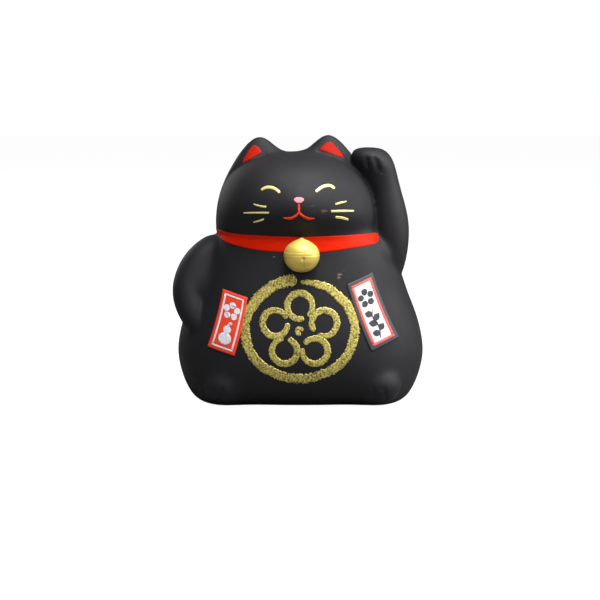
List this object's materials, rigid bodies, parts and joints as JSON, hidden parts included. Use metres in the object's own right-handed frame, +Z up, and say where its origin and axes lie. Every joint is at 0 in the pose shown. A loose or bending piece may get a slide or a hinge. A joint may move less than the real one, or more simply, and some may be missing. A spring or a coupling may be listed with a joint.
{
  "type": "beckoning cat coin bank",
  "caption": "Squat hollow earthenware beckoning cat with one paw raised, collar and bell, belly ring and charms; coin slot in the back and pull-out stopper in the base.",
  "frame": {"origin": "middle of the object's footprint box, on the table under the base", "axes": "+Z up, -Y the way the cat looks, +X the side of the raised paw"},
  "size_m": [0.0992, 0.0824, 0.1048],
  "materials": {
    "black_bisque": "slip-cast earthenware under a matte black coat with a soft sheen",
    "red_paint": "brushed vermilion paint, matte",
    "pink_paint": "brushed pink paint, matte",
    "gold_paint": "brushed satin gold paint",
    "gold_foil": "speckled fibrous gold foil",
    "red_paper": null,
    "white_paper": null,
    "stopper_rubber": "soft moulded stopper, matte"
  },
  "bodies": {
    "figure": {"body_casting": "black_bisque", "head_casting": "black_bisque", "raised_arm": "black_bisque", "resting_arm": "black_bisque", "tail": "black_bisque", "collar": "red_paint", "bell": "gold_paint", "crest_ring": "gold_foil", "crest_blossom": "gold_foil", "red_charm": "red_paper", "white_charm": "white_paper", "ear_linings": "red_paint", "eye_strokes": "gold_paint", "whisker_strokes": "gold_paint", "nose_dab": "pink_paint", "mouth_stroke": "red_paint"},
    "stopper": {"stopper": "stopper_rubber"}
  },
  "joints": [
    {"name": "stopper_pull", "type": "slide", "parent": "figure", "child": "stopper", "axis": [0, 0, -1], "range_m": [0, 0.03]}
  ]
}
